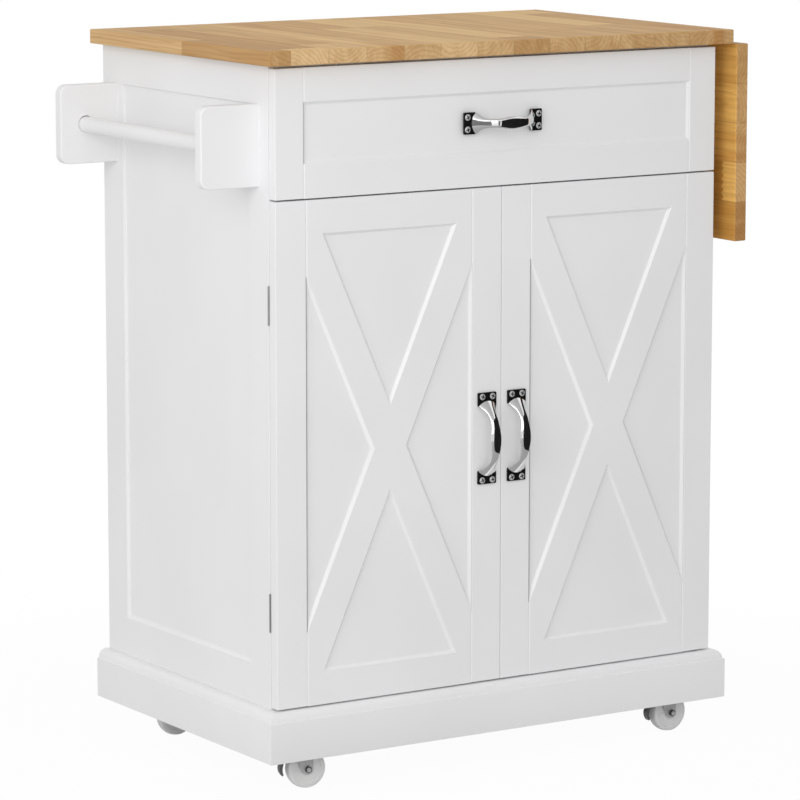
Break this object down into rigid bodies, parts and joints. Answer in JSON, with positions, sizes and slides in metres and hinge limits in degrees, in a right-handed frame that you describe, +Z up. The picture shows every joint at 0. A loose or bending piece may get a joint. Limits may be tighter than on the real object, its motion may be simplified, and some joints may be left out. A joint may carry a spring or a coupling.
{
  "type": "drop leaf kitchen island",
  "caption": "White cabinet on swivel casters with a wooden worktop, a hinged side leaf on folding brackets, a drawer, cross-braced doors and a towel rack.",
  "frame": {"origin": "on the floor, in the middle of the whole island's outline, with the leaf hanging", "axes": "+X to the right along the front, towards the leaf; +Y to the back; +Z up from the floor"},
  "size_m": [0.7698, 0.454, 0.91],
  "materials": {
    "white_paint": "satin paint on board",
    "butcher_block": "oiled butcher block",
    "batten_wood": "raw",
    "drawer_box_wood": "raw",
    "pull_metal": "polished",
    "bright_screws": "polished",
    "wheel_plastic": "matt",
    "caster_steel": "zinc plated",
    "brake_steel": "satin",
    "catch_plastic": "matt",
    "zinc_steel": "zinc plated"
  },
  "bodies": {
    "cabinet": {"worktop": "butcher_block", "side_panel_left": "white_paint", "side_panel_right": "white_paint", "back_panel": "white_paint", "bottom_panel": "white_paint", "divider_panel": "white_paint", "top_rails": "white_paint", "adjustable_shelf": "white_paint", "shelf_pins": "zinc_steel", "plinth_front": "white_paint", "plinth_left": "white_paint", "plinth_right": "white_paint", "plinth_back": "white_paint", "base_battens": "batten_wood", "caster_plates": "zinc_steel", "caster_screws": "zinc_steel", "towel_bracket_front": "white_paint", "towel_bracket_rear": "white_paint", "towel_bar": "white_paint", "drawer_runners": "zinc_steel", "magnet_catches": "catch_plastic", "door_hinge_frame_leaves": "zinc_steel", "door_hinge_pins": "zinc_steel", "leaf_hinge_top_plates": "zinc_steel", "leaf_hinge_pins": "zinc_steel", "bracket_wall_arms": "zinc_steel"},
    "drawer": {"drawer_front": "white_paint", "drawer_side_left": "drawer_box_wood", "drawer_side_right": "drawer_box_wood", "drawer_back": "drawer_box_wood", "drawer_bottom": "drawer_box_wood", "drawer_slides": "zinc_steel", "drawer_pull": "pull_metal", "drawer_pull_screws": "bright_screws"},
    "door_left": {"door_left": "white_paint", "door_left_hinge_leaves": "zinc_steel", "door_left_strike": "zinc_steel", "door_left_pull": "pull_metal", "door_left_pull_screws": "bright_screws"},
    "door_right": {"door_right": "white_paint", "door_right_hinge_leaves": "zinc_steel", "door_right_strike": "zinc_steel", "door_right_pull": "pull_metal", "door_right_pull_screws": "bright_screws"},
    "leaf": {"drop_leaf": "butcher_block", "leaf_hinge_leaf_plates": "zinc_steel", "bracket_leaf_arms": "zinc_steel"},
    "struts": {"bracket_struts": "zinc_steel"},
    "fork_front_left": {"caster_fork_front_left": "caster_steel"},
    "wheel_front_left": {"wheel_front_left": "wheel_plastic"},
    "fork_front_right": {"caster_fork_front_right": "caster_steel"},
    "wheel_front_right": {"wheel_front_right": "wheel_plastic"},
    "fork_rear_left": {"caster_fork_rear_left": "caster_steel"},
    "wheel_rear_left": {"wheel_rear_left": "wheel_plastic"},
    "fork_rear_right": {"caster_fork_rear_right": "caster_steel"},
    "wheel_rear_right": {"wheel_rear_right": "wheel_plastic"},
    "brake_left": {"brake_lever_left": "brake_steel"},
    "brake_right": {"brake_lever_right": "brake_steel"}
  },
  "joints": [
    {"name": "drawer_slide", "type": "slide", "parent": "cabinet", "child": "drawer", "axis": [0, -1, 0], "range_m": [0, 0.26]},
    {"name": "door_left_hinge", "type": "hinge", "parent": "cabinet", "child": "door_left", "pos_m": [-0.30523, -0.1865, 0.42], "axis": [0, 0, -1], "range_deg": [0, 110]},
    {"name": "door_right_hinge", "type": "hinge", "parent": "cabinet", "child": "door_right", "pos_m": [0.34537, -0.1865, 0.42], "axis": [0, 0, 1], "range_deg": [0, 95]},
    {"name": "leaf_hinge", "type": "hinge", "parent": "cabinet", "child": "leaf", "pos_m": [0.36507, 0.0045, 0.89015], "axis": [0, -1, 0], "range_deg": [0, 90]},
    {"name": "strut_pivot", "type": "hinge", "parent": "leaf", "child": "struts", "pos_m": [0.35387, 0.0045, 0.79815], "axis": [0, 1, 0], "range_deg": [0, 135]},
    {"name": "swivel_front_left", "type": "hinge", "parent": "cabinet", "child": "fork_front_left", "pos_m": [-0.25493, -0.174, 0.06], "axis": [0, 0, 1], "continuous": true},
    {"name": "roll_front_left", "type": "hinge", "parent": "fork_front_left", "child": "wheel_front_left", "pos_m": [-0.25, -0.17487, 0.025], "axis": [0.1736, 0.9848, 0], "continuous": true},
    {"name": "swivel_front_right", "type": "hinge", "parent": "cabinet", "child": "fork_front_right", "pos_m": [0.29507, -0.174, 0.06], "axis": [0, 0, 1], "continuous": true},
    {"name": "roll_front_right", "type": "hinge", "parent": "fork_front_right", "child": "wheel_front_right", "pos_m": [0.30007, -0.174, 0.025], "axis": [0, 1, 0], "continuous": true},
    {"name": "swivel_rear_left", "type": "hinge", "parent": "cabinet", "child": "fork_rear_left", "pos_m": [-0.25493, 0.149, 0.06], "axis": [0, 0, 1], "continuous": true},
    {"name": "roll_rear_left", "type": "hinge", "parent": "fork_rear_left", "child": "wheel_rear_left", "pos_m": [-0.24993, 0.149, 0.025], "axis": [0, 1, 0], "continuous": true},
    {"name": "swivel_rear_right", "type": "hinge", "parent": "cabinet", "child": "fork_rear_right", "pos_m": [0.29507, 0.149, 0.06], "axis": [0, 0, 1], "continuous": true},
    {"name": "roll_rear_right", "type": "hinge", "parent": "fork_rear_right", "child": "wheel_rear_right", "pos_m": [0.30007, 0.149, 0.025], "axis": [0, 1, 0], "continuous": true},
    {"name": "brake_left", "type": "hinge", "parent": "fork_front_left", "child": "brake_left", "pos_m": [-0.25985, -0.17313, 0.052], "axis": [-0.1736, -0.9848, 0], "range_deg": [0, 9.3]},
    {"name": "brake_right", "type": "hinge", "parent": "fork_front_right", "child": "brake_right", "pos_m": [0.29008, -0.174, 0.052], "axis": [0, -1, 0], "range_deg": [0, 9.3]}
  ],
  "couplings": [
    {"joint": "strut_pivot", "follows": "leaf_hinge", "ratio": 1.5}
  ]
}
